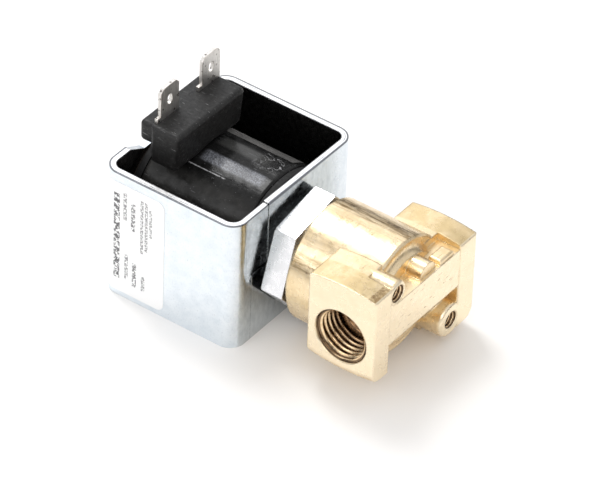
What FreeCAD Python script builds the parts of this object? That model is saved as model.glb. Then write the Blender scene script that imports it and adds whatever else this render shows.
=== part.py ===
import FreeCAD, Part
import Sketcher
import math
import os

# Solenoid valve, two way, with 1/4-18 NPT ports and a clip-on boxed coil.
# The solenoid axis is the X axis. The origin is where that axis meets the front mounting face,
# +X points out of that face, +Y runs along the ports and +Z points out of the terminals.
# Lengths are in millimetres, angles in degrees.

SIZES = {
    # brass body
    "boss_radius": 14.4, "boss_back": 27.2, "boss_front": 6.3, "boss_edge": 0.5,
    "neck_radius": 10.9, "neck_front": 5.0, "cove_depth": 0.75,
    "port_reach": 18.9, "block_inner": 8.0, "block_width": 17.4, "block_crown": 0.8,
    "block_top": 12.9, "block_bottom": 9.9, "block_twist": 4.3, "block_round": 2.9, "block_edge": 0.5,
    "front_inner": 12.9, "web_low": 2.4, "web_top": 7.6, "web_relief": 0.25,
    "infill_inner": 6.4, "infill_low": 9.6, "infill_foot": 4.6,
    "lug_round_y": 1.9, "lug_round_z": 7.7, "lug_round_radius": 2.8,
    "lug_round_back": 5.4, "lug_round_front": 1.0,
    "lug_flat_inner": 5.8, "lug_flat_outer": 10.7, "lug_flat_top": 8.7,
    "lug_flat_back": 3.7, "lug_flat_front": 0.5,
    # ports and passages
    "port_x": 8.8, "port_z": -0.5, "port_radius": 6.6, "port_mouth": 6.85, "port_depth": 8.0,
    "port_chamfer": 0.5, "port_point": 2.77, "sleeve_outer": 8.6, "sleeve_inner": 6.1,
    "passage_start": 10.5, "inlet_x": 13.6, "outlet_x": 9.2, "passage_radius": 2.0,
    "thread_bore": 10.5, "thread_floor": 19.4, "chamber_radius": 7.0, "chamber_floor": 12.5,
    "nozzle_radius": 3.0, "nozzle_tip": 15.0, "orifice_radius": 1.6,
    "groove_inner": 7.8, "groove_outer": 9.6, "groove_floor": 18.0,
    # mounting holes, #8-32, on one circle
    "mount_pcd": 30.0, "mount_radius": 2.08, "mount_mouth": 2.33, "mount_depth": 9.0, "mount_chamfer": 0.25,
    "mount_boss_near": 3.1, "mount_boss_far": 4.2, "mount_boss_back": 7.4, "mount_boss_edge": 0.9,
    # bonnet nut, 1 inch across flats
    "hex_flats": 25.4, "hex_back": 33.45, "hex_front": 27.8, "hex_turn": 11.5, "hex_edge": 0.25,
    "collar_back": 34.95, "collar_radius": 10.0,
    "spigot_radius": 10.4, "spigot_end": 20.2,
    # enclosing tube with its fixed core
    "tube_radius": 6.45, "tube_bore": 6.05, "tube_back": 70.8, "flange_radius": 9.7,
    "core_radius": 6.0, "core_front": 51.8, "core_shoulder": 71.0, "stud_radius": 5.4, "stud_end": 75.6,
    "clip_groove": 4.5, "ring_inner": 3.6, "ring_outer": 4.6, "ring_depth": 1.4, "ring_gap": 0.05,
    # plunger
    "plunger_radius": 5.97, "plunger_front": 15.4, "plunger_step": 20.5, "plunger_back": 50.0,
    "nose_radius": 4.6, "seal_radius": 3.1, "seal_face": 15.05, "seal_back": 17.6, "flute_width": 1.3,
    "flute_floor": 4.6, "spring_pocket": 2.7, "spring_floor": 42.0,
    "spring_radius": 1.9, "spring_wire": 0.28, "spring_turns": 6,
    # coil
    "bobbin_bore": 8.3, "bobbin_hub": 9.2, "bobbin_flange": 16.5, "bobbin_wall": 1.5,
    "winding_inner": 9.5, "winding_outer": 15.3, "wrap_outer": 16.9, "coil_gap": 0.1,
    "bush_radius": 8.2, "bush_bore": 6.54, "bush_length": 11.0, "washer_thickness": 0.8,
    # yoke, a strip bent to a closed box
    "yoke_front": 35.0, "yoke_length": 36.6, "yoke_width": 43.3, "yoke_height": 34.0,
    "strip": 1.6, "bend_radius": 3.9, "yoke_hole": 8.25, "seam_width": 0.18, "hairline": 0.08,
    "seam_upper": -9.9, "seam_lower": -15.6, "seam_jog": 1.0, "seam_rise": 0.4, "seam_set": 0.12,
    "notch_half": 13.6, "notch_floor_half": 8.5, "notch_depth": 2.6,
    # terminals
    "block_back": 68.4, "block_split": 65.1, "block_front": 57.3, "leg_front": 58.1,
    "block_near": -13.2, "block_far": 10.9, "block_inset": 0.5, "block_roof": 25.8, "shelf_floor": 20.3,
    "leg_floor": 16.6, "block_soft": 1.1, "blade_x": 64.6, "blade_spacing": 14.7, "blade_width": 6.35,
    "blade_thickness": 0.8, "blade_tip": 34.05, "blade_root": 18.2, "blade_chamfer": 1.0,
    "blade_hole": 0.85, "blade_hole_height": 30.2, "blade_slot": 0.45, "foot_width": 1.15, "foot_top": 26.9,
    "slot_gap": 0.03, "lead_radius": 0.4, "lead_foot": 13.8, "lead_hole": 0.55,
    # small parts at the back of the coil
    "wave_back": 72.5, "wave_front": 71.65, "wave_inner": 6.7, "wave_outer": 10.0,
    "clip_back": 73.4, "clip_front": 72.6, "clip_outer": 9.0, "clip_inner": 4.6, "clip_mouth": 6.4,
    # rating label
    "label_thickness": 0.12, "label_front": 54.3, "label_top": 14.6, "label_bottom": -15.6,
    "label_round": 2.0,
}

doc = FreeCAD.newDocument("solenoid_valve")
sheet = doc.addObject("Spreadsheet::Sheet", "dims")
for row, (alias, size) in enumerate(SIZES.items(), 1):
    sheet.set(f"A{row}", alias)
    sheet.set(f"B{row}", str(size))
    sheet.setAlias(f"B{row}", alias)
doc.recompute()

X_TURN = FreeCAD.Rotation(FreeCAD.Vector(0, 1, 0), 90)      # local Z becomes +X
Y_TURN = FreeCAD.Rotation(FreeCAD.Vector(1, 0, 0), -90)     # local Z becomes +Y
Z_TURN = FreeCAD.Rotation()
TURNS = {"x": X_TURN, "y": Y_TURN, "z": Z_TURN}

HALF_YOKE = "(dims.yoke_width / 2)"
YOKE_BACK = "(dims.yoke_front + dims.yoke_length)"
COIL_FRONT = "(dims.yoke_front + dims.strip + dims.washer_thickness)"
COIL_BACK = f"({YOKE_BACK} - dims.strip - dims.washer_thickness)"


def number(expression):
    """Value of an expression over the sheet's cells."""
    result = sheet.evalExpression(str(expression))
    return float(getattr(result, "Value", result))


def bind(thing, **expressions):
    """Bind properties by expression; x_, y_ and z_ name the placement's base."""
    bases = {"x_": "Placement.Base.x", "y_": "Placement.Base.y", "z_": "Placement.Base.z"}
    for name, expression in expressions.items():
        thing.setExpression(bases.get(name, name), str(expression))
    return thing


# ---- Part primitives and booleans ----

def box(name, x_low, x_high, y_low, y_high, z_low, z_high):
    solid = doc.addObject("Part::Box", name)
    return bind(solid, Length=f"({x_high}) - ({x_low})", Width=f"({y_high}) - ({y_low})",
                Height=f"({z_high}) - ({z_low})", x_=x_low, y_=y_low, z_=z_low)


def rod(name, axis, start, length, radius, at=("0", "0"), angle=360):
    """Cylinder along an axis; at gives the two other coordinates, in X, Y, Z order."""
    solid = doc.addObject("Part::Cylinder", name)
    solid.Placement = FreeCAD.Placement(FreeCAD.Vector(), TURNS[axis])
    solid.Angle = angle
    return bind(solid, Radius=radius, Height=length, **placed(axis, start, at))


def cone(name, axis, start, length, first, second, at=("0", "0")):
    solid = doc.addObject("Part::Cone", name)
    solid.Placement = FreeCAD.Placement(FreeCAD.Vector(), TURNS[axis])
    return bind(solid, Radius1=first, Radius2=second, Height=length, **placed(axis, start, at))


def placed(axis, start, at):
    others = [name for name in ("x_", "y_", "z_") if name[0] != axis]
    return {axis + "_": start, others[0]: at[0], others[1]: at[1]}


def fuse(name, *parts):
    joined = doc.addObject("Part::MultiFuse", name)
    joined.Shapes = list(parts)
    joined.Refine = True
    return joined


def cut(name, base, *tools):
    result = doc.addObject("Part::Cut", name)
    result.Base = base
    result.Tool = tools[0] if len(tools) == 1 else fuse(name + "_tools", *tools)
    return result


def common(name, *parts):
    result = doc.addObject("Part::MultiCommon", name)
    result.Shapes = list(parts)
    return result


# ---- PartDesign bodies ----

def new_body(name):
    return doc.addObject("PartDesign::Body", name)


def sketch_on(body, name, role, offset=None):
    """Sketch on one of the body's own origin planes, moved along the plane's normal by an expression."""
    sketch = body.newObject("Sketcher::SketchObject", name)
    plane = next(feature for feature in body.Origin.OriginFeatures if feature.Role == role)
    sketch.AttachmentSupport = (plane, [""])
    sketch.MapMode = "FlatFace"
    if offset:
        sketch.setExpression("AttachmentOffset.Base.z", offset)
    return sketch


def pin_vertex(sketch, geometry, end, across, up, index):
    """Hold one end of a line at two expressions, or on an axis where the expression is 0."""
    for kind, axis, expression in (("DistanceX", -2, across), ("DistanceY", -1, up)):
        if expression == "0":
            sketch.addConstraint(Sketcher.Constraint("PointOnObject", geometry, end, axis))
            continue
        label = f"{kind[-1].lower()}_{index}"
        place = sketch.addConstraint(Sketcher.Constraint(kind, -1, 1, geometry, end, number(expression)))
        sketch.renameConstraint(place, label)
        sketch.setExpression(f"Constraints.{label}", expression)


def outline(sketch, corners, crowns=None):
    """Closed outline through corners given as pairs of expressions; crowns bows some sides outward."""
    crowns = crowns or {}
    points = [FreeCAD.Vector(number(across), number(up), 0) for across, up in corners]
    count = len(points)
    for index, point in enumerate(points):
        following = points[(index + 1) % count]
        if index in crowns:
            chord, rise = crowns[index]
            middle = (point + following) * 0.5
            side = (following - point).normalize()
            outward = FreeCAD.Vector(side.y, -side.x, 0) * number(rise)
            sketch.addGeometry(Part.Arc(point, middle + outward, following), False)
        else:
            sketch.addGeometry(Part.LineSegment(point, following), False)
    for index in range(count):
        # a counter-clockwise arc keeps its ends in order, so joins are made end to start
        sketch.addConstraint(Sketcher.Constraint("Coincident", index, 2, (index + 1) % count, 1))
    for index, (across, up) in enumerate(corners):
        pin_vertex(sketch, index, 1, across, up, index)
    for index, (chord, rise) in crowns.items():
        radius = f"(({chord}) * ({chord}) / 4 + ({rise}) * ({rise})) / (2 * ({rise}))"
        place = sketch.addConstraint(Sketcher.Constraint("Radius", index, number(radius)))
        sketch.renameConstraint(place, f"bow_{index}")
        sketch.setExpression(f"Constraints.bow_{index}", radius)
    return sketch


def turned(name, profile, crowns=None):
    """Body turned about the X axis from a profile of (distance behind the origin, radius) pairs."""
    body = new_body(name)
    sketch = sketch_on(body, name + "_profile", "XY_Plane")
    outline(sketch, [(f"-({behind})", radius) for behind, radius in profile], crowns)
    revolution = body.newObject("PartDesign::Revolution", name + "_turning")
    revolution.Profile = sketch
    revolution.ReferenceAxis = (sketch, ["H_Axis"])
    revolution.Angle = 360
    return body


def ring(name, front, back, inner, outer):
    """Plain ring about the X axis between two distances behind the origin."""
    return turned(name, [(back, inner), (front, inner), (front, outer), (back, outer)])


def pad(body, sketch, length, middle=False, reverse=False):
    feature = body.newObject("PartDesign::Pad", sketch.Name + "_pad")
    feature.Profile = sketch
    feature.setExpression("Length", length)
    if middle:
        feature.SideType = "Symmetric"
    feature.Reversed = reverse
    return feature


def pocket(body, sketch, length=None, middle=False, reverse=False):
    """Pocket to a length, or through everything; it must remove material."""
    doc.recompute()
    before = body.Shape.Volume
    feature = body.newObject("PartDesign::Pocket", sketch.Name + "_pocket")
    feature.Profile = sketch
    if length is None:
        feature.Type = "ThroughAll"
    else:
        feature.setExpression("Length", length)
    if middle:
        feature.SideType = "Symmetric"
    feature.Reversed = reverse
    doc.recompute()
    if body.Shape.Volume > before - 1e-6:
        raise RuntimeError(f"{feature.Name} cuts nothing")
    return feature


def round_edges(body, radius, wanted):
    """Fillet the edges of the body's tip that the test accepts."""
    doc.recompute()
    tip = body.Tip
    names = [f"Edge{i}" for i, edge in enumerate(tip.Shape.Edges, 1) if wanted(edge)]
    if not names:
        raise RuntimeError(f"no edge to round on {body.Name}")
    feature = body.newObject("PartDesign::Fillet", f"{body.Name}_fillet_{len(body.Group)}")
    feature.Base = (tip, names)
    feature.setExpression("Radius", radius)
    return feature


def spans(edge, axis):
    """True for a straight edge along one axis."""
    extent = edge.BoundBox
    lengths = {"x": extent.XLength, "y": extent.YLength, "z": extent.ZLength}
    others = [length for name, length in lengths.items() if name != axis]
    return lengths[axis] > 0.01 and max(others) < 0.01


# ---- brass body ----

def body_blank_boss():
    """Round boss that takes the bonnet, with the neck in front of it and a cove between them."""
    rise = "(dims.boss_radius - dims.boss_edge - dims.neck_radius)"
    chord = f"sqrt((dims.boss_front - dims.neck_front) ^ 2 + {rise} ^ 2)"
    return turned("boss_blank", [
        ("dims.boss_back", "0"),
        ("dims.boss_back", "dims.boss_radius - dims.boss_edge"),
        ("dims.boss_back - dims.boss_edge", "dims.boss_radius"),
        ("dims.boss_front + dims.boss_edge", "dims.boss_radius"),
        ("dims.boss_front", "dims.boss_radius - dims.boss_edge"),
        ("dims.neck_front", "dims.neck_radius"),
        ("dims.neck_front", "0"),
    ], {4: (chord, "dims.cove_depth")})


def port_block(name, side, inner, depth, top, bottom):
    """Crowned block at one port; side is -1 for the -Y port and 1 for the +Y port."""
    body = new_body(name)
    offset = "dims.port_reach" if side < 0 else "-dims.port_reach"
    sketch = sketch_on(body, name + "_outline", "XZ_Plane", offset)
    back, floor = f"-({depth})", f"-({bottom})"
    outline(sketch, [(back, floor), ("0", floor), ("0", top), (back, top)],
            {0: (depth, "dims.block_crown"), 2: (depth, "dims.block_crown")})
    pad(body, sketch, f"dims.port_reach - ({inner})", reverse=side < 0)
    low = number(bottom)
    reach = number("dims.port_reach")

    def outer_bottom(edge):
        middle = edge.valueAt((edge.FirstParameter + edge.LastParameter) / 2)
        return middle.z < -low + 0.1 and abs(abs(middle.y) - reach) < 0.01 and edge.BoundBox.XLength > 1

    round_edges(body, "dims.block_round", outer_bottom)

    def small_corner(edge):
        upright = spans(edge, "z") and edge.BoundBox.XMin > -0.01
        return upright or (spans(edge, "y") and edge.BoundBox.ZMin > 0)

    round_edges(body, "dims.block_edge", small_corner)
    return body


def mount_boss(name, y_place, z_place, radius):
    """Round boss about a mounting hole, rounded at its front rim."""
    body = new_body(name)
    sketch = sketch_on(body, name + "_circle", "YZ_Plane")
    centre = FreeCAD.Vector(number(y_place), number(z_place), 0)
    sketch.addGeometry(Part.Circle(centre, FreeCAD.Vector(0, 0, 1), number(radius)), False)
    for label, kind, expression in (("across", "DistanceX", y_place), ("up", "DistanceY", z_place)):
        place = sketch.addConstraint(Sketcher.Constraint(kind, -1, 1, 0, 3, number(expression)))
        sketch.renameConstraint(place, label)
        sketch.setExpression("Constraints." + label, expression)
    place = sketch.addConstraint(Sketcher.Constraint("Radius", 0, number(radius)))
    sketch.renameConstraint(place, "size")
    sketch.setExpression("Constraints.size", radius)
    pad(body, sketch, "dims.mount_boss_back", reverse=True)
    round_edges(body, "dims.mount_boss_edge", lambda edge: edge.BoundBox.XMin > -0.01)
    return body


def round_lug():
    """Half-round lug on top of the web."""
    at = ("dims.lug_round_y", "dims.lug_round_z")
    length = "dims.lug_round_back - dims.lug_round_front"
    return rod("lug_round", "x", "-dims.lug_round_back", length, "dims.lug_round_radius", at)


def flat_lug():
    body = new_body("lug_flat")
    sketch = sketch_on(body, "lug_flat_outline", "YZ_Plane", "-dims.lug_flat_front")
    inner, outer = "dims.lug_flat_inner", "dims.lug_flat_outer"
    outline(sketch, [(inner, "dims.web_low"), (outer, "dims.web_low"),
                     (outer, "dims.lug_flat_top"), (inner, "dims.lug_flat_top")])
    pad(body, sketch, "dims.lug_flat_back - dims.lug_flat_front", reverse=True)
    top = number("dims.lug_flat_top")
    round_edges(body, "dims.block_edge", lambda edge: edge.BoundBox.ZMin > top - 0.01)
    return body


def mount_places():
    """The two mounting holes: above the -Y block and below the +Y block, on one diagonal."""
    step = f"(dims.mount_pcd / 2 * {math.sqrt(0.5)})"
    return {"near": (f"-{step}", step), "far": (step, f"-{step}")}


def port_solids(name, side, top, bottom):
    """One port block and the sleeve about its bore; it is narrower in front of the boss."""
    reach = "dims.block_width"
    front = port_block(f"block_{name}_front", side, "dims.front_inner", reach, top, bottom)
    whole = port_block(f"block_{name}_whole", side, "dims.block_inner", reach, top, bottom)
    keep = box(f"block_{name}_keep", "-30", "-dims.boss_front", "-30", "30", "-30", "30")
    start = "-dims.front_inner - 0.5" if side < 0 else "dims.block_inner - 1"
    radii = ("dims.sleeve_outer", "dims.sleeve_inner")
    sleeve = cone(f"port_sleeve_{name}", "y", start, "dims.front_inner - dims.block_inner + 1.5",
                  *radii[::-side], ("-dims.port_x", "dims.port_z"))
    return [front, common(f"block_{name}_back", whole, keep), sleeve]


def web_infill():
    """Sloping fill between the web's lower edge and the far mounting boss."""
    body = new_body("web_infill")
    sketch = sketch_on(body, "web_infill_side", "XZ_Plane", "-dims.infill_inner")
    outline(sketch, [("-dims.boss_front - 1", "-dims.infill_low"), ("-dims.infill_foot", "-dims.infill_low"),
                     ("-dims.web_relief", "-dims.web_low"), ("-dims.boss_front - 1", "-dims.web_low")])
    pad(body, sketch, "dims.front_inner + 1 - dims.infill_inner", reverse=True)
    return body


def web_solids(shoulder_end):
    """Plate between the two blocks in front of the neck, with its shoulder, infill and lugs."""
    back = "-dims.boss_front - 1"
    low, high = "-dims.front_inner - 1", "dims.front_inner + 1"
    return [
        box("web", back, "-dims.web_relief", low, high, "-dims.web_low", "dims.web_top"),
        box("web_shoulder", back, "-dims.web_relief", low, shoulder_end, "dims.web_top - 1",
            "dims.block_top"),
        web_infill(),
        round_lug(),
        flat_lug(),
    ]


def port_tools(name, side):
    """Bore, mouth chamfer and drill point of one port."""
    at = ("-dims.port_x", "dims.port_z")
    floor = "(dims.port_reach - dims.port_depth)"
    bore_start = "-dims.port_reach - 1" if side < 0 else floor
    mouth_start = "-dims.port_reach" if side < 0 else "dims.port_reach - dims.port_chamfer"
    point_start = f"-{floor}" if side < 0 else f"{floor} - dims.port_point"
    mouth_radii = ("dims.port_mouth", "dims.port_radius")
    point_radii = ("dims.port_radius", "dims.passage_radius")
    return [
        rod(f"port_{name}_bore", "y", bore_start, "dims.port_depth + 1", "dims.port_radius", at),
        cone(f"port_{name}_mouth", "y", mouth_start, "dims.port_chamfer", *mouth_radii[::-side], at),
        cone(f"port_{name}_point", "y", point_start, "dims.port_point", *point_radii[::-side], at),
    ]


def mount_tools(name, place):
    """Mounting hole at its thread's major radius, with a small mouth chamfer."""
    return [
        rod(f"mount_{name}_bore", "x", "-dims.mount_depth", "dims.mount_depth + 1", "dims.mount_radius",
            place),
        cone(f"mount_{name}_mouth", "x", "-dims.mount_chamfer", "dims.mount_chamfer", "dims.mount_radius",
             "dims.mount_mouth", place),
    ]


def passage_tools():
    """Bonnet thread, plunger chamber about its nozzle, O-ring groove and the two passages."""
    chamber = rod("chamber", "x", "-dims.thread_floor - 1", "dims.thread_floor + 1 - dims.chamber_floor",
                  "dims.chamber_radius")
    nozzle = rod("nozzle", "x", "-dims.nozzle_tip", "dims.nozzle_tip", "dims.nozzle_radius")
    return [
        rod("bonnet_thread_bore", "x", "-dims.boss_back - 1", "dims.boss_back + 1 - dims.thread_floor",
            "dims.thread_bore"),
        cut("chamber_cut", chamber, nozzle),
        ring("seal_groove", "dims.groove_floor", "dims.thread_floor + 1", "dims.groove_inner",
             "dims.groove_outer"),
        rod("orifice", "x", "-dims.nozzle_tip - 1", "dims.nozzle_tip + 1 - dims.outlet_x",
            "dims.orifice_radius"),
        rod("inlet_passage", "y", "-dims.passage_start", "dims.passage_start - 4", "dims.passage_radius",
            ("-dims.inlet_x", "dims.port_z")),
        rod("outlet_passage", "y", "0", "dims.passage_start", "dims.passage_radius",
            ("-dims.outlet_x", "dims.port_z")),
    ]


def valve_body():
    """Forged body: the far port block is the near one turned end for end, so it sits lower."""
    places = mount_places()
    solids = [body_blank_boss()]
    solids += port_solids("near", -1, "dims.block_top", "dims.block_bottom")
    solids += port_solids("far", 1, "dims.block_top - dims.block_twist",
                          "dims.block_bottom + dims.block_twist")
    for name, place in places.items():
        solids.append(mount_boss(f"mount_boss_{name}_blank", *place, f"dims.mount_boss_{name}"))
    solids += web_solids(places["near"][0])
    tools = passage_tools()
    for name, side in (("near", -1), ("far", 1)):
        tools += port_tools(name, side)
        tools += mount_tools(name, places[name])
    return cut("valve_body", fuse("body_blank", *solids), *tools)


# ---- bonnet, tube and core ----

def bonnet_nut():
    """Hexagon on a collar that stands it off the yoke, with a spigot that screws into the body."""
    prism = doc.addObject("Part::Prism", "hexagon")
    prism.Polygon = 6
    turn = FreeCAD.Rotation(FreeCAD.Vector(0, 0, 1), 90 + number("dims.hex_turn"))
    prism.Placement = FreeCAD.Placement(FreeCAD.Vector(), X_TURN.multiply(turn))
    corner_radius = f"(dims.hex_flats / 2 / {math.cos(math.pi / 6)})"
    bind(prism, Circumradius=corner_radius, Height="dims.hex_back - dims.hex_front", x_="-dims.hex_back")
    worn_radius = f"{corner_radius} - dims.hex_edge"
    worn = turned("hex_envelope", [
        ("dims.hex_back", "0"), ("dims.hex_back", worn_radius),
        ("dims.hex_back - dims.hex_edge", corner_radius), ("dims.hex_front + dims.hex_edge", corner_radius),
        ("dims.hex_front", worn_radius), ("dims.hex_front", "0"),
    ])
    collar = rod("collar", "x", "-dims.collar_back", "dims.collar_back - dims.hex_back",
                 "dims.collar_radius")
    spigot = rod("spigot", "x", "-dims.hex_front", "dims.hex_front - dims.spigot_end",
                 "dims.spigot_radius")
    solid = fuse("nut_blank", common("hex_worn", prism, worn), collar, spigot)
    bore = rod("nut_bore", "x", "-dims.collar_back - 1", "dims.collar_back", "dims.tube_radius + 0.05")
    return cut("bonnet_nut", solid, bore)


def enclosing_tube():
    return turned("enclosing_tube", [
        ("dims.tube_back", "dims.tube_bore"), ("dims.thread_floor", "dims.tube_bore"),
        ("dims.thread_floor", "dims.flange_radius"), ("dims.spigot_end", "dims.flange_radius"),
        ("dims.spigot_end", "dims.tube_radius"), ("dims.tube_back", "dims.tube_radius"),
    ])


def fixed_core():
    """Magnetic stop welded into the tube, with a grooved stud behind the coil for the clip."""
    return turned("fixed_core", [
        ("dims.stud_end", "0"), ("dims.stud_end", "dims.stud_radius - 0.6"),
        ("dims.stud_end - 0.6", "dims.stud_radius"), ("dims.clip_back + 0.05", "dims.stud_radius"),
        ("dims.clip_back + 0.05", "dims.clip_groove"), ("dims.clip_front - 0.05", "dims.clip_groove"),
        ("dims.clip_front - 0.05", "dims.stud_radius"), ("dims.core_shoulder", "dims.stud_radius"),
        ("dims.core_shoulder", "dims.core_radius"), ("dims.core_front", "dims.core_radius"),
        ("dims.core_front", "dims.ring_outer"), ("dims.core_front + dims.ring_depth", "dims.ring_outer"),
        ("dims.core_front + dims.ring_depth", "dims.ring_inner"), ("dims.core_front", "dims.ring_inner"),
        ("dims.core_front", "0"),
    ])


def shading_ring():
    return ring("shading_ring", "dims.core_front + 0.1", "dims.core_front + dims.ring_depth",
                "dims.ring_inner + dims.ring_gap", "dims.ring_outer - dims.ring_gap")


def o_ring():
    """Round-section ring squeezed between the body's groove and the tube's flange."""
    solid = doc.addObject("Part::Torus", "body_o_ring")
    solid.Placement = FreeCAD.Placement(FreeCAD.Vector(), X_TURN)
    return bind(solid, Radius1="(dims.groove_inner + dims.groove_outer) / 2",
                Radius2="(dims.thread_floor - dims.groove_floor) / 2 - 0.01",
                x_="-(dims.thread_floor + dims.groove_floor) / 2")


# ---- plunger ----

def plunger():
    blank = turned("plunger_blank", [
        ("dims.plunger_back", "dims.spring_pocket"), ("dims.plunger_back", "dims.plunger_radius"),
        ("dims.plunger_step", "dims.plunger_radius"), ("dims.plunger_step - 1", "dims.nose_radius"),
        ("dims.plunger_front", "dims.nose_radius"), ("dims.plunger_front", "dims.seal_radius + 0.02"),
        ("dims.seal_back", "dims.seal_radius + 0.02"), ("dims.seal_back", "0"),
        ("dims.spring_floor", "0"), ("dims.spring_floor", "dims.spring_pocket"),
    ])
    flutes = [
        box(f"flute_{name}", "-dims.plunger_back - 1", "-dims.plunger_step + 2", "-dims.flute_width / 2",
            "dims.flute_width / 2", low, high)
        for name, low, high in (("top", "dims.flute_floor", "dims.plunger_radius + 1"),
                                ("bottom", "-dims.plunger_radius - 1", "-dims.flute_floor"))
    ]
    return cut("plunger", blank, *flutes)


def plunger_seal():
    return turned("plunger_seal", [
        ("dims.seal_back", "0"), ("dims.seal_back", "dims.seal_radius"),
        ("dims.seal_face", "dims.seal_radius"), ("dims.seal_face", "0"),
    ])


def plunger_spring():
    """Coil spring between the plunger's pocket and the fixed core."""
    length = "(dims.core_front - dims.spring_floor - 2 * dims.spring_wire - 0.1)"
    helix = doc.addObject("Part::Helix", "spring_line")
    helix.Placement = FreeCAD.Placement(FreeCAD.Vector(), X_TURN)
    bind(helix, Radius="dims.spring_radius", Height=length, Pitch=f"{length} / dims.spring_turns",
         x_="-dims.core_front + dims.spring_wire + 0.05")
    wire = doc.addObject("Part::Circle", "spring_section")
    wire.Placement = FreeCAD.Placement(FreeCAD.Vector(), FreeCAD.Rotation(FreeCAD.Vector(1, 0, 0), 90))
    bind(wire, Radius="dims.spring_wire", x_="-dims.core_front + dims.spring_wire + 0.05",
         z_="-dims.spring_radius")
    sweep = doc.addObject("Part::Sweep", "plunger_spring")
    sweep.Sections = [wire]
    sweep.Spine = (helix, ["Edge1"])
    sweep.Solid = True
    sweep.Frenet = True
    return sweep


# ---- coil ----

def bobbin():
    wall_front = f"({COIL_FRONT} + dims.bobbin_wall)"
    wall_back = f"({COIL_BACK} - dims.bobbin_wall)"
    return turned("bobbin", [
        (COIL_BACK, "dims.bobbin_bore"), (COIL_FRONT, "dims.bobbin_bore"),
        (COIL_FRONT, "dims.bobbin_flange"), (wall_front, "dims.bobbin_flange"),
        (wall_front, "dims.bobbin_hub"), (wall_back, "dims.bobbin_hub"),
        (wall_back, "dims.bobbin_flange"), (COIL_BACK, "dims.bobbin_flange"),
    ])


def winding_span():
    front = f"({COIL_FRONT} + dims.bobbin_wall + dims.coil_gap)"
    back = f"({COIL_BACK} - dims.bobbin_wall - dims.coil_gap)"
    return front, back


def coil_winding():
    return ring("coil_winding", *winding_span(), "dims.winding_inner", "dims.winding_outer")


def coil_wrap():
    """Outer tape, with two small holes where the leads come through."""
    blank = ring("wrap_blank", *winding_span(), "dims.winding_outer + 0.3", "dims.wrap_outer")
    return cut("coil_wrap", blank, *[
        rod(f"wrap_hole_{name}", "z", "dims.winding_outer - 4", "6", "dims.lead_hole",
            ("-dims.blade_x", place))
        for name, place in blade_places().items()
    ])


def flux_bush(name, front, back):
    return ring(name, front, back, "dims.bush_bore", "dims.bush_radius")


def insulating_washer(name, front):
    back = f"({front}) + dims.washer_thickness"
    return ring(name, front, back, "dims.bobbin_bore", "dims.bobbin_flange - 1")


# ---- yoke ----

def yoke_strip():
    """Closed strip with rounded bends, before the seam and the holes are cut."""
    body = new_body("yoke_strip")
    sheet_plan = sketch_on(body, "yoke_plan", "XY_Plane")
    outline(sheet_plan, [(f"-{YOKE_BACK}", f"-{HALF_YOKE}"), ("-dims.yoke_front", f"-{HALF_YOKE}"),
                         ("-dims.yoke_front", HALF_YOKE), (f"-{YOKE_BACK}", HALF_YOKE)])
    pad(body, sheet_plan, "dims.yoke_height", middle=True)
    round_edges(body, "dims.bend_radius", lambda edge: spans(edge, "z"))
    inside = sketch_on(body, "yoke_inside", "XY_Plane")
    low, high = f"-({HALF_YOKE} - dims.strip)", f"{HALF_YOKE} - dims.strip"
    back, front = f"-({YOKE_BACK} - dims.strip)", "-(dims.yoke_front + dims.strip)"
    outline(inside, [(back, low), (front, low), (front, high), (back, high)])
    pocket(body, inside, middle=True)
    inner_half = number(high)

    def inner_corner(edge):
        return spans(edge, "z") and abs(abs(edge.BoundBox.YMin) - inner_half) < 0.01

    round_edges(body, "dims.bend_radius - dims.strip", inner_corner)
    return body


def seam_rise():
    """Slight slope of the front rim, highest at the seam."""
    rise = new_body("seam_rise")
    slope = sketch_on(rise, "seam_rise_outline", "YZ_Plane", "-dims.yoke_front")
    outline(slope, [("dims.seam_upper", "dims.yoke_height / 2 - 1"),
                    (f"{HALF_YOKE} - dims.bend_radius", "dims.yoke_height / 2 - 1"),
                    (f"{HALF_YOKE} - dims.bend_radius", "dims.yoke_height / 2"),
                    ("dims.seam_upper", "dims.yoke_height / 2 + dims.seam_rise")])
    pad(rise, slope, "dims.strip", reverse=True)
    return rise


def seam_tools():
    """Stepped butt seam in the front plate; its upper left end is set back a little."""
    plate = ("-dims.yoke_front - dims.strip - 1", "-dims.yoke_front + 1")
    over = "dims.yoke_height / 2 + 1"
    upper_edge = "dims.seam_upper - dims.seam_width"
    lower_edge = "dims.seam_lower - dims.hairline"
    jog_top = "dims.seam_jog + dims.hairline"
    return [
        box("seam_slot_upper", *plate, upper_edge, "dims.seam_upper", "dims.seam_jog", over),
        box("seam_slot_lower", *plate, lower_edge, "dims.seam_lower", f"-({over})", jog_top),
        box("seam_slot_jog", *plate, lower_edge, "dims.seam_upper", "dims.seam_jog", jog_top),
        box("seam_step", "-dims.yoke_front - dims.seam_set", "-dims.yoke_front + 1",
            f"-({HALF_YOKE} - dims.bend_radius)", upper_edge, "dims.seam_jog", over),
    ]


def yoke():
    """Steel strip bent round the coil, butted in the front plate, with a dip in the back rim."""
    holes = [
        rod(f"yoke_{name}_hole", "x", start, "dims.strip + 2", "dims.yoke_hole")
        for name, start in (("front", "-dims.yoke_front - dims.strip - 1"), ("back", f"-{YOKE_BACK} - 1"))
    ]
    return cut("yoke", fuse("yoke_blank", yoke_strip(), seam_rise()), *seam_tools(), *holes, notch_blank())


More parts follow.
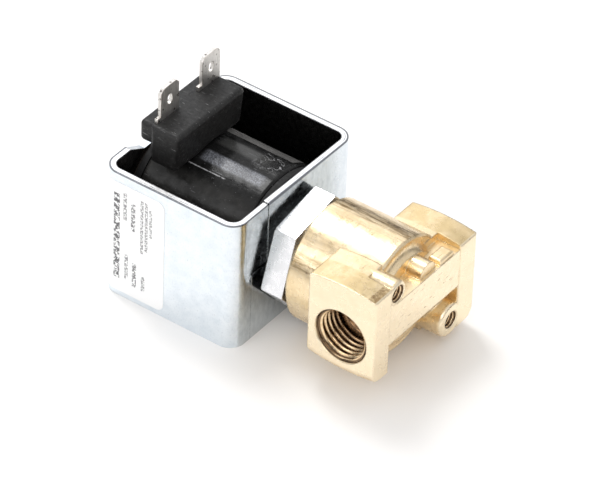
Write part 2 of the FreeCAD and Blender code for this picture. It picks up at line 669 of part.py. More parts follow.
def notch_blank():
    """Shallow dip in the back rim under the terminal block, with sloping ends."""
    body = new_body("notch_blank")
    sketch = sketch_on(body, "notch_outline", "YZ_Plane", f"-{YOKE_BACK} - 1")
    floor = "dims.yoke_height / 2 - dims.notch_depth"
    over = "dims.yoke_height / 2 + 1"
    outline(sketch, [("-dims.notch_floor_half", floor), ("dims.notch_floor_half", floor),
                     ("dims.notch_half", "dims.yoke_height / 2"), ("dims.notch_half", over),
                     ("-dims.notch_half", over), ("-dims.notch_half", "dims.yoke_height / 2")])
    pad(body, sketch, "dims.strip + 2")
    return body


# ---- terminals ----

def blade_places():
    return {"left": "-dims.blade_spacing / 2", "right": "dims.blade_spacing / 2"}


def terminal_block():
    """Moulded block over the coil: a thin shelf at the back and a deeper part in front of it."""
    deep = new_body("block_deep")
    sketch = sketch_on(deep, "block_deep_side", "XZ_Plane", "-dims.block_near")
    outline(sketch, [("-dims.block_split", "dims.leg_floor"), ("-dims.leg_front", "dims.leg_floor"),
                     ("-dims.block_front", "dims.block_roof"), ("-dims.block_split", "dims.block_roof")])
    pad(deep, sketch, "dims.block_far - dims.block_near", reverse=True)
    floor = number("dims.leg_floor")
    split = number("dims.block_split")

    def soft(edge):
        extent = edge.BoundBox
        at_split = extent.XMax < -split + 0.01
        return extent.ZMax > floor + 0.01 and not (at_split and spans(edge, "y"))

    round_edges(deep, "dims.block_soft", soft)

    shelf = new_body("block_shelf")
    sketch = sketch_on(shelf, "block_shelf_side", "XZ_Plane", "-dims.block_near - dims.block_inset")
    outline(sketch, [("-dims.block_back", "dims.shelf_floor"), ("-dims.block_split + 1", "dims.shelf_floor"),
                     ("-dims.block_split + 1", "dims.block_roof - 0.15"),
                     ("-dims.block_back", "dims.block_roof - 0.15")])
    pad(shelf, sketch, "dims.block_far - dims.block_near - 2 * dims.block_inset", reverse=True)
    back = number("dims.block_back")
    round_edges(shelf, "dims.block_soft", lambda edge: edge.BoundBox.XMin < -back + 0.01)

    tools = [rod("coil_clearance", "x", "-dims.block_back - 1", "14", "dims.wrap_outer + 0.3")]
    for name, place in blade_places().items():
        half = "(dims.blade_width / 2 + dims.slot_gap)"
        deep_half = "(dims.blade_thickness / 2 + dims.slot_gap)"
        slot = (f"-dims.blade_x - {deep_half}", f"-dims.blade_x + {deep_half}")
        tools.append(box(f"blade_slot_{name}", *slot, f"{place} - {half}", f"{place} + {half}",
                         "dims.blade_root - 0.02", "dims.blade_tip"))
        tools.append(box(f"foot_slot_{name}", *slot, f"{place} - {half} - dims.foot_width",
                         f"{place} + {half}", "dims.block_roof - 1.02", "dims.blade_tip"))
        tools.append(rod(f"lead_hole_{name}", "z", "dims.leg_floor - 1",
                         "dims.blade_root - dims.leg_floor + 1.5", "dims.lead_hole",
                         ("-dims.blade_x", place)))
    return cut("terminal_block", fuse("block_blank", deep, shelf), *tools)


def terminal(name, place):
    """Quick-connect blade with chamfered corners, an oval hole and a foot on its -Y side."""
    body = new_body(name)
    sketch = sketch_on(body, name + "_outline", "YZ_Plane", "-dims.blade_x")
    low, high = f"{place} - dims.blade_width / 2", f"{place} + dims.blade_width / 2"
    outline(sketch, [
        (low, "dims.blade_root"), (high, "dims.blade_root"), (high, "dims.blade_tip - dims.blade_chamfer"),
        (f"{high} - dims.blade_chamfer", "dims.blade_tip"), (f"{low} + dims.blade_chamfer", "dims.blade_tip"),
        (low, "dims.blade_tip - dims.blade_chamfer"), (low, "dims.foot_top"),
        (f"{low} - dims.foot_width", "dims.foot_top"), (f"{low} - dims.foot_width", "dims.block_roof - 1"),
        (low, "dims.block_roof - 1"),
    ])
    pad(body, sketch, "dims.blade_thickness", middle=True)
    span = "-dims.blade_x - dims.blade_thickness"
    length = "2 * dims.blade_thickness"
    hole = [rod(f"{name}_hole_{end}", "x", span, length, "dims.blade_hole",
                (place, f"dims.blade_hole_height {sign} dims.blade_slot"))
            for end, sign in (("low", "-"), ("high", "+"))]
    hole.append(box(f"{name}_hole_middle", span, f"{span} + {length}", f"{place} - dims.blade_hole",
                    f"{place} + dims.blade_hole", "dims.blade_hole_height - dims.blade_slot",
                    "dims.blade_hole_height + dims.blade_slot"))
    return cut(name + "_blade", body, *hole)


def lead(name, place):
    """Stiff wire from the winding up to the root of one blade."""
    return rod(name, "z", "dims.lead_foot", "dims.blade_root - dims.lead_foot", "dims.lead_radius",
               ("-dims.blade_x", place))


# ---- small parts ----

def retaining_clip():
    """Forked clip pushed over the groove of the core's stud."""
    blank = ring("clip_blank", "dims.clip_front", "dims.clip_back", "dims.clip_inner", "dims.clip_outer")
    mouth = box("clip_mouth_slot", "-dims.clip_back - 1", "-dims.clip_front + 1", "-dims.clip_mouth / 2",
                "dims.clip_mouth / 2", "-dims.clip_outer - 1", "0")
    return cut("retaining_clip", blank, mouth)


def rating_label():
    """Thin sticker on the -Y side, carried round the back bend."""
    outer = f"-{HALF_YOKE} - dims.label_thickness"
    bend_x = f"(-{YOKE_BACK} + dims.bend_radius)"
    bend_y = f"(-{HALF_YOKE} + dims.bend_radius)"
    tall = "dims.label_top - dims.label_bottom"
    flat = new_body("label_flat")
    sketch = sketch_on(flat, "label_outline", "XZ_Plane", f"-({outer})")
    outline(sketch, [(bend_x, "dims.label_bottom"), ("-dims.label_front", "dims.label_bottom"),
                     ("-dims.label_front", "dims.label_top"), (bend_x, "dims.label_top")])
    pad(flat, sketch, "dims.label_thickness", reverse=True)
    front = number("-dims.label_front")
    round_edges(flat, "dims.label_round", lambda edge: spans(edge, "y") and edge.BoundBox.XMin > front - 0.01)
    skin = rod("label_bend_outer", "z", "dims.label_bottom", tall, "dims.bend_radius + dims.label_thickness",
               (bend_x, bend_y), angle=90)
    core = rod("label_bend_inner", "z", "dims.label_bottom - 1", f"{tall} + 2", "dims.bend_radius",
               (bend_x, bend_y))
    skin.Placement.Rotation = FreeCAD.Rotation(FreeCAD.Vector(0, 0, 1), 180)
    return fuse("rating_label", flat, cut("label_bend", skin, core))


# ---- build, check and write ----

def sub_parts():
    places = blade_places()
    return {
        "valve_body": valve_body(),
        "bonnet_nut": bonnet_nut(),
        "enclosing_tube": enclosing_tube(),
        "fixed_core": fixed_core(),
        "shading_ring": shading_ring(),
        "body_o_ring": o_ring(),
        "wave_washer": ring("wave_washer", "dims.wave_front", "dims.wave_back", "dims.wave_inner",
                            "dims.wave_outer"),
        "retaining_clip": retaining_clip(),
        "plunger": plunger(),
        "plunger_seal": plunger_seal(),
        "plunger_spring": plunger_spring(),
        "yoke": yoke(),
        "flux_bush_front": flux_bush("flux_bush_front", "dims.yoke_front + 0.05",
                                     "dims.yoke_front + dims.bush_length"),
        "flux_bush_rear": flux_bush("flux_bush_rear", f"{YOKE_BACK} - dims.bush_length",
                                    f"{YOKE_BACK} - 0.05"),
        "insulating_washer_front": insulating_washer("insulating_washer_front",
                                                     "dims.yoke_front + dims.strip"),
        "insulating_washer_rear": insulating_washer("insulating_washer_rear", COIL_BACK),
        "bobbin": bobbin(),
        "coil_winding": coil_winding(),
        "coil_wrap": coil_wrap(),
        "terminal_block": terminal_block(),
        "terminal_left": terminal("terminal_left", places["left"]),
        "terminal_right": terminal("terminal_right", places["right"]),
        "lead_left": lead("lead_left", places["left"]),
        "lead_right": lead("lead_right", places["right"]),
        "rating_label": rating_label(),
    }


def write(parts):
    doc.recompute()
    for thing in doc.Objects:
        if {"Invalid", "Error"} & set(thing.State):
            raise RuntimeError(f"{thing.Name} is {thing.State}")
    os.makedirs("parts", exist_ok=True)
    for label, thing in parts.items():
        shape = thing.Shape
        if shape.isNull() or not shape.isValid() or len(shape.Solids) != 1:
            raise RuntimeError(f"{label}: {len(shape.Solids)} solids, valid {shape.isValid()}")
        thing.Label = label
        shape.exportStep(f"parts/{label}.step")
        print(f"{label:26s} {shape.Volume:10.2f} mm3")


write(sub_parts())
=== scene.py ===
import math

import bpy
from mathutils import Matrix, Vector, noise


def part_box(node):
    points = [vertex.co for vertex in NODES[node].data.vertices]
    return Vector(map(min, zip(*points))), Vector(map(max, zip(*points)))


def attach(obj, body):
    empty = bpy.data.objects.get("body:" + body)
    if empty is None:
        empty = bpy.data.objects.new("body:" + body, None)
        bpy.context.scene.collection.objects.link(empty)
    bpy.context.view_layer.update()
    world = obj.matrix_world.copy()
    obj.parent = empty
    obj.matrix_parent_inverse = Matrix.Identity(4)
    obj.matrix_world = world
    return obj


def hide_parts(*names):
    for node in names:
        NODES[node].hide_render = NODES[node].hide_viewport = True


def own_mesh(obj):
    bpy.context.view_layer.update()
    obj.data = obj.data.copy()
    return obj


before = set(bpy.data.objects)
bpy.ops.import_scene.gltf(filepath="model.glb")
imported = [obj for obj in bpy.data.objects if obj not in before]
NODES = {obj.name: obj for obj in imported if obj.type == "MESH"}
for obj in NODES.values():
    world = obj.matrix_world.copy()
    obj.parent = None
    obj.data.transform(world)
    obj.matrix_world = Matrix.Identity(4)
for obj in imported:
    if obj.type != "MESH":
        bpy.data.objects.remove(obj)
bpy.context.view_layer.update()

# Looks for the solenoid valve. Lengths in the constants are millimetres, in the CAD's own frame:
# X is the solenoid axis, +X leaves the front mounting face, and +Z is towards the terminals.
# Angles round the X axis are degrees, from +Y towards +Z. Colours are linear.

MM = 0.001
SCENE = bpy.context.scene
# Levels between which most of a noise lies.
MOST = (0.3, 0.7)

# ---- places on the CAD's shapes ----

YOKE_BACK, YOKE_FRONT = -71.6, -35.0
YOKE_HALF, YOKE_TOP, STRIP, BEND = 21.65, 17.0, 1.6, 3.9
NUT_BACK = -33.45
SPRING_BACK, SPRING_FRONT, SPRING_RADIUS, SPRING_WIRE, SPRING_TURNS = -51.47, -42.33, 1.9, 0.26, 7
BOSS_BACK, BOSS_FRONT = -27.2, -6.3
# Radii that the boss's surface lies between.
BOSS_SKIN = (14.35, 14.45)
PORT_X, PORT_Z, PORT_FACE, PORT_DEPTH = -8.8, -0.5, 18.9, 8.0
PORT_RADIUS, PORT_PITCH, PORT_CREST = 6.6, 25.4 / 18, 5.75
PORT_POINT, PASSAGE_RADIUS = 2.77, 2.0
HOLE_PLACE, HOLE_RADIUS, HOLE_DEPTH = 15 * math.sqrt(0.5), 2.08, 8.6
HOLE_PITCH, HOLE_CREST = 25.4 / 32, 1.72
WRAP_BACK, WRAP_FRONT, WRAP_INNER, WRAP_OUTER = -67.6, -39.0, 15.6, 16.9
# Where the tape's outer end lies.
WRAP_LAP = 97
# A port block's flank and top, where the brass has patches of painted shade: where they begin, and where
# fully reached.
BLOCK_FLANK, BLOCK_TOP = (12.4, 13.0), (6.5, 8.0)
# The dark strip on the near block's front top edge.
DARK_STRIP_X, DARK_STRIP_Y, DARK_STRIP_Z = (-2.1, -0.5), (-18.5, -13.5), (11.6, 12.2)
# The front of the web, between the two blocks.
WEB_Y = (-11.0, 12.0)
# The sideways step in the seam of the front plate, painted dark as shade.
JOG_Y, JOG_Z = (-15.8, -9.8), (0.7, 1.4)
# Dark streaks along the boss, partly brown tarnish and partly painted dark reflections: first and last angle,
# and strength.
BOSS_STREAKS_AND_REFLECTIONS = ((67, 80, 0.95), (88, 93, 0.25), (122, 130, 0.3), (143, 153, 0.7), (24, 40, 0.4),
                (-120, -95, 0.4))
# Rows of print: middle along X, half width, low and high end along Z, blots per millimetre, strength.
LABEL_ROWS = ((-67.3, 0.8, -12.0, 11.5, 1.1, 1.0), (-65.0, 0.45, 5.0, 12.5, 1.7, 0.8),
              (-64.6, 0.45, -11.5, -4.5, 1.7, 0.8), (-62.8, 0.55, 3.0, 10.5, 1.7, 0.9),
              (-62.4, 0.55, -12.5, -6.0, 1.7, 0.9), (-60.4, 0.38, -2.0, 12.5, 2.3, 0.8),
              (-59.2, 0.38, -1.0, 12.5, 2.3, 0.8), (-58.0, 0.38, 3.5, 11.0, 2.3, 0.7),
              (-60.0, 0.45, -12.5, -8.5, 1.9, 0.8))

# ---- colours ----

BRASS = {
    "light": (0.93, 0.76, 0.51), "deep": (0.84, 0.66, 0.40), "pale": (0.98, 0.88, 0.68),
    "dark_streak_and_reflection": (0.30, 0.19, 0.08), "worked": (0.52, 0.37, 0.19), "scratch": (0.50, 0.36, 0.18),
    "pit": (0.35, 0.23, 0.11), "block top": (0.70, 0.54, 0.29), "machined": (1.0, 0.875, 0.66),
    "cast": (0.38, 0.25, 0.12), "edge_highlight": (1.0, 0.93, 0.76), "stained": (0.42, 0.28, 0.13),
    "dark_strip": (0.30, 0.19, 0.09),
}
THREAD = {
    "crest": (0.95, 0.74, 0.48), "flank": (0.80, 0.58, 0.34), "deep": (0.22, 0.12, 0.06),
    "root": (0.10, 0.05, 0.025),
}
NUT = {
    "light": (0.95, 0.95, 0.97), "deep": (0.92, 0.925, 0.945), "spot": (0.62, 0.63, 0.65),
    "back_shade": (0.03, 0.03, 0.03), "edge": (0.42, 0.43, 0.45),
}
ZINC = {
    "light": (0.84, 0.89, 0.93), "deep": (0.76, 0.82, 0.87), "grain": (0.50, 0.55, 0.60),
    "stain": (0.50, 0.46, 0.41), "speck": (0.20, 0.20, 0.21), "edge": (0.30, 0.31, 0.33),
    "plate": (0.62, 0.66, 0.67), "tarnish": (0.46, 0.50, 0.51), "foot": (0.62, 0.65, 0.68),
    "scored": (0.78, 0.68, 0.52), "seam": (0.04, 0.04, 0.04), "shade_inside": (0.15, 0.145, 0.14),
    "deep_shade_inside": (0.09, 0.088, 0.085), "cut": (1.0, 1.0, 1.0), "cut dull": (0.72, 0.74, 0.77),
    "groove": (0.25, 0.26, 0.28), "outline": (0.13, 0.14, 0.16), "inline": (0.12, 0.12, 0.13),
}
STEEL_EDGE_HIGHLIGHT = (0.85, 0.86, 0.88)
BLADE = {
    "light": (0.80, 0.78, 0.75), "deep": (0.58, 0.56, 0.53), "speck": (0.06, 0.045, 0.035),
    "edge": (0.72, 0.58, 0.44),
}
MOULDING = {
    "deep": (0.008, 0.008, 0.008), "light": (0.018, 0.0175, 0.017), "scuff": (0.15, 0.15, 0.15),
    "nick": (0.34, 0.34, 0.34), "dust": (0.30, 0.30, 0.31), "edge": (0.16, 0.16, 0.17),
}
TAPE = {
    "deep": (0.005, 0.005, 0.005), "light": (0.012, 0.012, 0.012), "crown": (0.25, 0.26, 0.29),
    "strip": (0.19, 0.185, 0.18), "haze_reflection": (0.06, 0.06, 0.058), "flank": (0.05, 0.048, 0.045),
    "scratch": (0.16, 0.16, 0.17), "line": (0.40, 0.40, 0.41), "dust": (0.38, 0.38, 0.40),
    "painted_crease_highlight": (0.42, 0.42, 0.43),
}
LABEL = {"light": (0.985, 0.985, 0.985), "deep": (0.96, 0.962, 0.966), "print": (0.12, 0.12, 0.125)}
COPPER = {"light": (0.80, 0.42, 0.20), "deep": (0.62, 0.26, 0.10)}
FLOOR = {"light": (0.955, 0.945, 0.935), "deep": (0.95, 0.94, 0.925)}

# ---- studio ----

FLOOR_HALF = 3.0
LIGHT_AIM = Vector((-0.035, 0, 0))
# Area lights: name, direction, distance, width, height, power and colour, in metres and watts.
LIGHTS = (("key", (-0.446, 0.20, 0.872), 0.7, 0.22, 0.30, 2.0, (1.0, 1.0, 1.0)),
          ("fill", (0.75, -0.75, 0.75), 0.9, 0.5, 0.5, 1.5, (1.0, 0.98, 0.95)),
          ("left", (-0.3, -0.9, 0.6), 0.9, 0.5, 0.5, 1.3, (0.98, 0.99, 1.0)),
          ("rim", (-0.6, 0.7, 0.55), 0.9, 0.5, 0.35, 0.4, (0.97, 0.98, 1.0)))
# The room's brightness against height, from the horizon at 0 to straight up at 1.
HORIZON, ZENITH = (0.55, 0.56, 0.58, 1), (1.0, 1.0, 1.0, 1)
ROOM_STEPS = ((0.06, 0.16), (0.20, 0.20), (0.34, 0.85), (0.55, 1.0))
ROOM_STRENGTH = 0.8
# Where the camera looks from, in degrees, and its place along its own right, up and back.
CAMERA_TURN, CAMERA_RISE, CAMERA_ROLL = 35.10, 39.13, 2.23
CAMERA_PLACE = (1.19, 0.686, 1092.28)
LENS, SENSOR = 300, 36


# ---- material building blocks ----

class Look:
    """One procedural material. Its texture coordinates are the object's own, in millimetres."""

    def __init__(self, name, constants):
        self.material = bpy.data.materials.new(name)
        self.material.use_nodes = True
        self.tree = self.material.node_tree
        self.shader = self.tree.nodes["Principled BSDF"]
        for socket, value in constants.items():
            self.shader.inputs[socket].default_value = value
        place = self.node("ShaderNodeTexCoord").outputs["Object"]
        self.mm = self.stretched(place, (1000, 1000, 1000))
        self.x, self.y, self.z = self.node("ShaderNodeSeparateXYZ", inputs={0: self.mm}).outputs
        self.normal = None

    def node(self, kind, settings=None, inputs=None):
        made = self.tree.nodes.new(kind)
        for name, value in (settings or {}).items():
            setattr(made, name, value)
        for name, value in (inputs or {}).items():
            self.feed(made.inputs[name], value)
        return made

    def feed(self, socket, value):
        if isinstance(value, bpy.types.NodeSocket):
            self.tree.links.new(value, socket)
        else:
            socket.default_value = value

    def stretched(self, vector, factors):
        inputs = {0: vector, 1: factors}
        return self.node("ShaderNodeVectorMath", {"operation": "MULTIPLY"}, inputs).outputs[0]

    def noise(self, scale, detail=3, roughness=0.55, stretch=(1, 1, 1), distortion=0.0):
        """Fractal noise; scale is in waves per millimetre."""
        inputs = {"Vector": self.stretched(self.mm, stretch), "Scale": scale, "Detail": detail,
                  "Roughness": roughness, "Distortion": distortion}
        return self.node("ShaderNodeTexNoise", inputs=inputs).outputs[0]

    def spread(self, value, low, high, to_low=0.0, to_high=1.0):
        """Smooth step of a value from low..high to to_low..to_high."""
        inputs = {0: value, 1: low, 2: high, 3: to_low, 4: to_high}
        return self.node("ShaderNodeMapRange", {"interpolation_type": "SMOOTHSTEP"}, inputs).outputs[0]

    def patches(self, scale, detail, levels, heights=(0.0, 1.0), roughness=0.55, stretch=(1, 1, 1),
                distortion=0.0):
        """Noise whose two levels are spread to two heights."""
        return self.spread(self.noise(scale, detail, roughness, stretch, distortion), *levels, *heights)

    def dots(self, scale, core, reach, strength=1.0):
        """Scattered dots that are full out to core and gone at reach, in spacings between them."""
        inputs = {"Vector": self.mm, "Scale": scale}
        away = self.node("ShaderNodeTexVoronoi", inputs=inputs).outputs[0]
        return self.spread(away, core, reach, strength, 0.0)

    def math(self, operation, first, second=0.0):
        return self.node("ShaderNodeMath", {"operation": operation}, {0: first, 1: second}).outputs[0]

    def product(self, first, *others):
        """First times all the others; each may be a socket or a number."""
        for other in others:
            first = self.math("MULTIPLY", first, other)
        return first

    def size(self, value):
        return self.math("ABSOLUTE", value)

    def length(self, first, second):
        """Length of a vector with two components."""
        squares = self.math("ADD", self.product(first, first), self.product(second, second))
        return self.math("POWER", squares, 0.5)

    def mix(self, amount, first, second):
        """Colour that goes from first to second."""
        inputs = {0: amount, 6: rgba(first), 7: rgba(second)}
        return self.node("ShaderNodeMix", {"data_type": "RGBA"}, inputs).outputs[2]

    def band(self, value, low, high, soft):
        """1 between low and high, falling to 0 over soft outside them."""
        rise = self.spread(value, low - soft, low)
        fall = self.spread(value, high, high + soft, 1.0, 0.0)
        return self.product(rise, fall)

    def arc(self, first, last, soft):
        """Band between two angles round the X axis."""
        turn = self.math("ARCTAN2", self.z, self.y)
        return self.band(turn, math.radians(first), math.radians(last), math.radians(soft))

    def rounded(self, radius):
        """Shade the edges as if rounded, and return a mask that is 1 on them."""
        bevel = self.node("ShaderNodeBevel", {"samples": 6}, {"Radius": radius * MM})
        true = self.node("ShaderNodeNewGeometry").outputs["Normal"]
        self.normal = bevel.outputs[0]
        inputs = {0: self.normal, 1: true}
        likeness = self.node("ShaderNodeVectorMath", {"operation": "DOT_PRODUCT"}, inputs)
        return self.spread(likeness.outputs["Value"], 0.80, 0.995, 1.0, 0.0)

    def bump(self, height, depth):
        """Relief of a height field that runs from 0 to 1; depth is in millimetres."""
        inputs = {"Strength": 1.0, "Distance": depth * MM, "Height": height}
        if self.normal:
            inputs["Normal"] = self.normal
        self.normal = self.node("ShaderNodeBump", inputs=inputs).outputs[0]

    def finish(self, colour, roughness):
        self.feed(self.shader.inputs["Base Color"], colour)
        self.feed(self.shader.inputs["Roughness"], roughness)
        if self.normal:
            self.feed(self.shader.inputs["Normal"], self.normal)
        return self.material


def rgba(colour):
    return (*colour, 1.0) if isinstance(colour, tuple) and len(colour) == 3 else colour


# ---- brass ----

def boss_streaks_and_reflections(look, colour):
    """Long streaks on the boss, along X: brown tarnish, and painted dark reflections at fixed angles round
    it.
    """
    on_boss = look.product(look.band(look.x, BOSS_BACK, BOSS_FRONT, 0.3),
                           look.band(look.length(look.y, look.z), *BOSS_SKIN, 0.15))
    dark_streak_and_reflection = look.patches(1.3, 6, (0.42, 0.60), roughness=0.8, stretch=(0.10, 1.0, 1.0))
    for first, last, strength in BOSS_STREAKS_AND_REFLECTIONS:
        amount = look.product(dark_streak_and_reflection, look.arc(first, last, 6), on_boss, strength)
        colour = look.mix(amount, colour, BRASS["dark_streak_and_reflection"])
    return colour


def forging_marks(look, colour, scratch):
    """Brown smudges, scratches and pits, and patches of painted shade on the port blocks' tops."""
    worked = look.patches(0.5, 5, (0.54, 0.70), (0.0, 0.45), 0.7, (0.3, 1.0, 1.0), 0.5)
    worked = look.product(worked, look.patches(0.12, 2, (0.42, 0.6)))
    colour = look.mix(worked, colour, BRASS["worked"])
    colour = look.mix(scratch, colour, BRASS["scratch"])
    pit = look.product(look.dots(1.1, 0.0, 0.13), look.patches(0.35, 2, (0.52, 0.60)), 0.6)
    colour = look.mix(pit, colour, BRASS["pit"])
    # Patches of painted shade on the tops of the port blocks.
    on_top = look.product(look.spread(look.size(look.y), *BLOCK_FLANK), look.spread(look.z, *BLOCK_TOP))
    patchy_shade = look.patches(0.22, 5, (0.35, 0.62), (0.35, 0.9), 0.7, distortion=0.4)
    return look.mix(look.product(on_top, patchy_shade), colour, BRASS["block top"])


def machined_faces(look, colour):
    """Pale front and port faces, with short casting scratches on the web's front."""
    on_front = look.spread(look.x, -0.6, -0.3)
    on_port = look.spread(look.size(look.y), PORT_FACE - 0.3, PORT_FACE - 0.1)
    machined = look.product(look.math("MAXIMUM", on_front, on_port), 0.75)
    colour = look.mix(machined, colour, BRASS["machined"])
    cast = look.patches(1.3, 3, (0.64, 0.69), (0.0, 0.8), 0.6, (1.0, 0.35, 2.2))
    return look.mix(look.product(cast, on_front, look.band(look.y, *WEB_Y, 1.0)), colour, BRASS["cast"])


def highlit_and_stained_edges(look, colour, edge):
    """Edges with painted highlights in places and brown stains in others, and the dark strip on the near
    block.
    """
    # Painted highlights and brown stains along the edges, chosen by noise.
    worn = look.mix(look.patches(0.5, 4, (0.40, 0.56), roughness=0.7), BRASS["edge_highlight"], BRASS["stained"])
    colour = look.mix(look.product(edge, 0.6), colour, worn)
    dark_strip = look.product(look.band(look.x, *DARK_STRIP_X, 0.25), look.band(look.y, *DARK_STRIP_Y, 0.3),
                            look.spread(look.z, *DARK_STRIP_Z),
                            look.patches(1.4, 5, (0.38, 0.58), (0.2, 0.9), 0.8))
    return look.mix(dark_strip, colour, BRASS["dark_strip"])


def brass_look():
    """Forged brass in cream gold: streaked with tarnish and painted dark reflections, marked, with patches of
    painted shade on the block tops, paler where machined, and with painted highlights and stains on the
    edges.
    """
    look = Look("forged_brass", {"Metallic": 1.0})
    edge = look.rounded(0.45)
    scratch = look.patches(0.9, 2, (0.66, 0.71), (0.0, 0.5), 0.5, (4.5, 0.25, 1.2), 0.4)
    colour = look.mix(look.patches(0.16, 4, (0.35, 0.68)), BRASS["light"], BRASS["deep"])
    colour = look.mix(look.patches(1.6, 4, (0.50, 0.72), (0.0, 0.35)), colour, BRASS["pale"])
    colour = forging_marks(look, boss_streaks_and_reflections(look, colour), scratch)
    colour = highlit_and_stained_edges(look, machined_faces(look, colour), edge)
    look.bump(look.noise(5.5, 4, 0.7), 0.010)
    look.bump(look.noise(0.7, 3), 0.05)
    look.bump(scratch, -0.01)
    return look.finish(colour, look.patches(0.6, 4, MOST, (0.24, 0.40)))


def thread_look():
    """Cut thread: bright crests over brown, with the roots and the deep end of the port darkened, partly oil
    and partly painted shade.
    """
    look = Look("cut_thread", {"Metallic": 1.0})
    colour = look.mix(look.patches(1.5, 3, (0.35, 0.65)), THREAD["crest"], THREAD["flank"])
    radius = look.length(look.math("SUBTRACT", look.x, PORT_X), look.math("SUBTRACT", look.z, PORT_Z))
    screw_radius = look.length(look.math("SUBTRACT", look.size(look.y), HOLE_PLACE),
                               look.math("SUBTRACT", look.size(look.z), HOLE_PLACE))
    # Painted shade, with oily dirt, growing darker deeper into the port.
    deep = look.product(look.spread(look.size(look.y), PORT_FACE - 9.0, PORT_FACE - 2.5, 0.9, 0.0),
                        look.spread(radius, PORT_RADIUS + 0.15, PORT_RADIUS + 0.35, 1.0, 0.0))
    colour = look.mix(deep, colour, THREAD["deep"])
    # Thread roots darkened: oil and painted shade in the grooves.
    root = look.math("MAXIMUM", look.band(radius, PORT_CREST + 0.50, PORT_RADIUS, 0.2),
                     look.band(screw_radius, HOLE_CREST + 0.16, HOLE_RADIUS, 0.08))
    colour = look.mix(look.product(root, 0.85), colour, THREAD["root"])
    look.bump(look.noise(8.0, 2), 0.01)
    return look.finish(colour, look.patches(2.0, 3, MOST, (0.16, 0.30)))


# ---- steel ----

def nut_look():
    """Bright zinc plate with faint turning marks, and painted shade, near black, on its back face towards the
    yoke.
    """
    look = Look("bright_zinc", {"Metallic": 1.0})
    edge = look.rounded(0.25)
    colour = look.mix(look.patches(0.25, 3, (0.35, 0.7)), NUT["light"], NUT["deep"])
    colour = look.mix(look.patches(1.1, 5, (0.68, 0.80), (0.0, 0.15), 0.7), colour, NUT["spot"])
    # Painted shade on the nut's back face, in the gap against the yoke.
    back_shade = look.product(look.spread(look.x, NUT_BACK - 0.02, NUT_BACK + 0.1, 0.85, 0.0),
                          look.spread(look.x, YOKE_FRONT - 1.0, YOKE_FRONT - 0.5))
    colour = look.mix(back_shade, colour, NUT["back_shade"])
    colour = look.mix(look.product(edge, 0.5), colour, NUT["edge"])
    look.bump(look.noise(3.0, 4, 0.65, stretch=(2.2, 0.6, 0.6)), 0.004)
    return look.finish(colour, look.patches(0.8, 3, MOST, (0.24, 0.32)))


def rim_distance(look):
    """Distance inward from the yoke's outer outline, a rectangle with rounded corners, seen from above."""
    middle = (YOKE_BACK + YOKE_FRONT) / 2
    half_length = (YOKE_FRONT - YOKE_BACK) / 2
    across = look.math("SUBTRACT", look.size(look.math("SUBTRACT", look.x, middle)), half_length - BEND)
    beside = look.math("SUBTRACT", look.size(look.y), YOKE_HALF - BEND)
    outside = look.length(look.math("MAXIMUM", across, 0.0), look.math("MAXIMUM", beside, 0.0))
    within = look.math("MINIMUM", look.math("MAXIMUM", across, beside), 0.0)
    return look.math("SUBTRACT", BEND, look.math("ADD", outside, within))


def zinc_skin(look):
    """Mottled zinc with a fine grain, brown stains and dark specks."""
    colour = look.mix(look.patches(0.35, 5, (0.32, 0.70), roughness=0.6), ZINC["light"], ZINC["deep"])
    grain = look.patches(3.0, 5, (0.52, 0.74), (0.0, 0.6), 0.75, (1.0, 1.0, 0.6))
    colour = look.mix(grain, colour, ZINC["grain"])
    stain = look.patches(0.5, 5, (0.64, 0.78), (0.0, 0.4), 0.75, distortion=0.8)
    colour = look.mix(stain, colour, ZINC["stain"])
    speck = look.product(look.dots(0.7, 0.0, 0.09), look.patches(0.3, 2, (0.50, 0.58)), 0.8)
    return look.mix(speck, colour, ZINC["speck"])


def front_plate(look):
    """Plate painted darker than the yoke's sides as shade, with tarnish, scored near its top, paler at its
    foot, with painted shade over the step in its seam.
    """
    tarnish = look.patches(0.8, 5, (0.35, 0.7), roughness=0.7, stretch=(1.0, 1.0, 0.5))
    # Base colour darker than the sides: painted shade, with random tarnish over it.
    colour = look.mix(tarnish, ZINC["plate"], ZINC["tarnish"])
    colour = look.mix(look.spread(look.z, -17.0, -7.0, 0.45, 0.0), colour, ZINC["foot"])
    scored = look.patches(1.2, 3, (0.62, 0.70), (0.0, 0.7), 0.6, (1.0, 0.35, 2.4), 0.3)
    colour = look.mix(look.product(scored, look.spread(look.z, 9.0, 14.0)), colour, ZINC["scored"])
    # Painted shade over the sideways step in the seam.
    jog = look.product(look.band(look.z, *JOG_Z, 0.15), look.band(look.y, *JOG_Y, 0.1), 0.9)
    return look.mix(jog, colour, ZINC["seam"])


def cut_rim(look):
    """Bright cut metal with a faint broken groove and a dark line along both edges."""
    inward = rim_distance(look)
    colour = look.mix(look.patches(0.9, 4, (0.52, 0.72)), ZINC["cut"], ZINC["cut dull"])
    groove = look.product(look.band(inward, 0.66, 0.78, 0.12), look.patches(0.5, 3, (0.38, 0.60), (0.0, 0.7)))
    colour = look.mix(groove, colour, ZINC["groove"])
    colour = look.mix(look.spread(inward, 0.26, 0.50, 0.95, 0.0), colour, ZINC["outline"])
    return look.mix(look.spread(inward, STRIP - 0.28, STRIP - 0.08, 0.0, 0.85), colour, ZINC["inline"])


